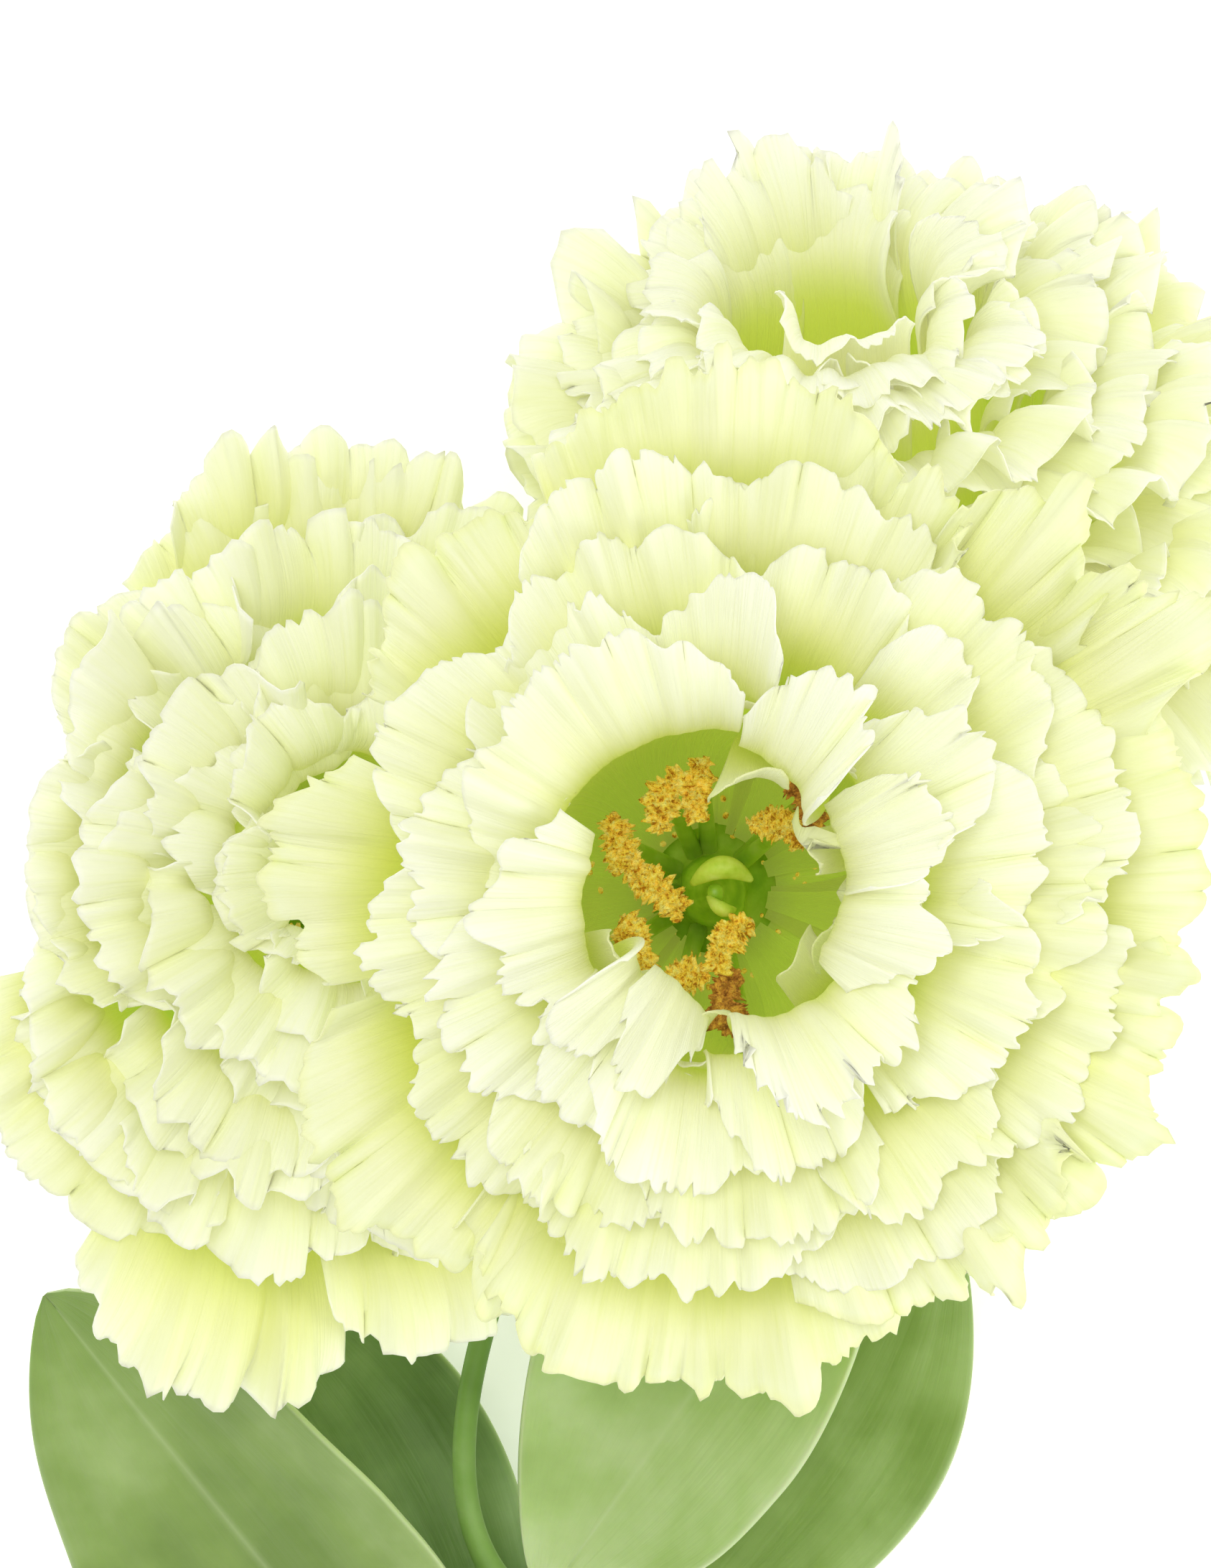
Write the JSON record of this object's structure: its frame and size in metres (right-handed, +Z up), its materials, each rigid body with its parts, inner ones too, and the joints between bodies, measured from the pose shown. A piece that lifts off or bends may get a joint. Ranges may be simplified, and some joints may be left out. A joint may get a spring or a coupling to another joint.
{
  "type": "cut lisianthus spray",
  "caption": "Branched cut flower stem lying on its side, with fringed double blooms on thin pedicels and paired oval leaves, to be laid down or stood in a vase.",
  "frame": {"origin": "middle of the part's box, on the surface that the spray lies on", "axes": "+Y along the stem from its cut end towards the blooms, +Z up from the surface, out through the throat of the tallest bloom"},
  "size_m": [0.1054, 0.3452, 0.0798],
  "materials": {
    "petal": "soft satin living petal, near white at the fringe and yellow-green at the base",
    "pistil": "smooth waxy green",
    "stamen": "crumbly orange-yellow pollen on smooth green filaments",
    "calyx": "smooth waxy mid green",
    "stem": "smooth green with a thin grey bloom",
    "leaf": "satin green with a grey-blue waxy bloom"
  },
  "bodies": {
    "root": {"front_outer_petal_1": "petal", "front_outer_petal_2": "petal", "front_outer_petal_3": "petal", "front_outer_petal_4": "petal", "front_outer_petal_5": "petal", "front_outer_petal_6": "petal", "front_outer_petal_7": "petal", "front_outer_petal_8": "petal", "front_middle_petal_1": "petal", "front_middle_petal_2": "petal", "front_middle_petal_3": "petal", "front_middle_petal_4": "petal", "front_middle_petal_5": "petal", "front_middle_petal_6": "petal", "front_inner_petal_1": "petal", "front_inner_petal_2": "petal", "front_inner_petal_3": "petal", "front_inner_petal_4": "petal", "front_inner_petal_5": "petal", "front_pistil": "pistil", "front_calyx": "calyx", "front_stamen_1": "stamen", "front_stamen_2": "stamen", "front_stamen_3": "stamen", "front_stamen_4": "stamen", "front_stamen_5": "stamen", "front_stamen_6": "stamen", "front_stamen_7": "stamen", "front_stamen_8": "stamen", "left_outer_petal_1": "petal", "left_outer_petal_2": "petal", "left_outer_petal_3": "petal", "left_outer_petal_4": "petal", "left_outer_petal_5": "petal", "left_inner_petal_1": "petal", "left_inner_petal_2": "petal", "left_inner_petal_3": "petal", "left_pistil": "pistil", "left_calyx": "calyx", "back_outer_petal_1": "petal", "back_outer_petal_2": "petal", "back_outer_petal_3": "petal", "back_outer_petal_4": "petal", "back_outer_petal_5": "petal", "back_inner_petal_1": "petal", "back_inner_petal_2": "petal", "back_inner_petal_3": "petal", "back_pistil": "pistil", "back_calyx": "calyx", "main_stem": "stem", "front_pedicel": "stem", "left_pedicel": "stem", "back_pedicel": "stem", "upper_left_leaf": "leaf", "upper_right_leaf": "leaf", "lower_left_leaf": "leaf", "lower_right_leaf": "leaf", "middle_left_leaf": "leaf", "middle_right_leaf": "leaf", "foot_leaf": "leaf"}
  },
  "joints": []
}
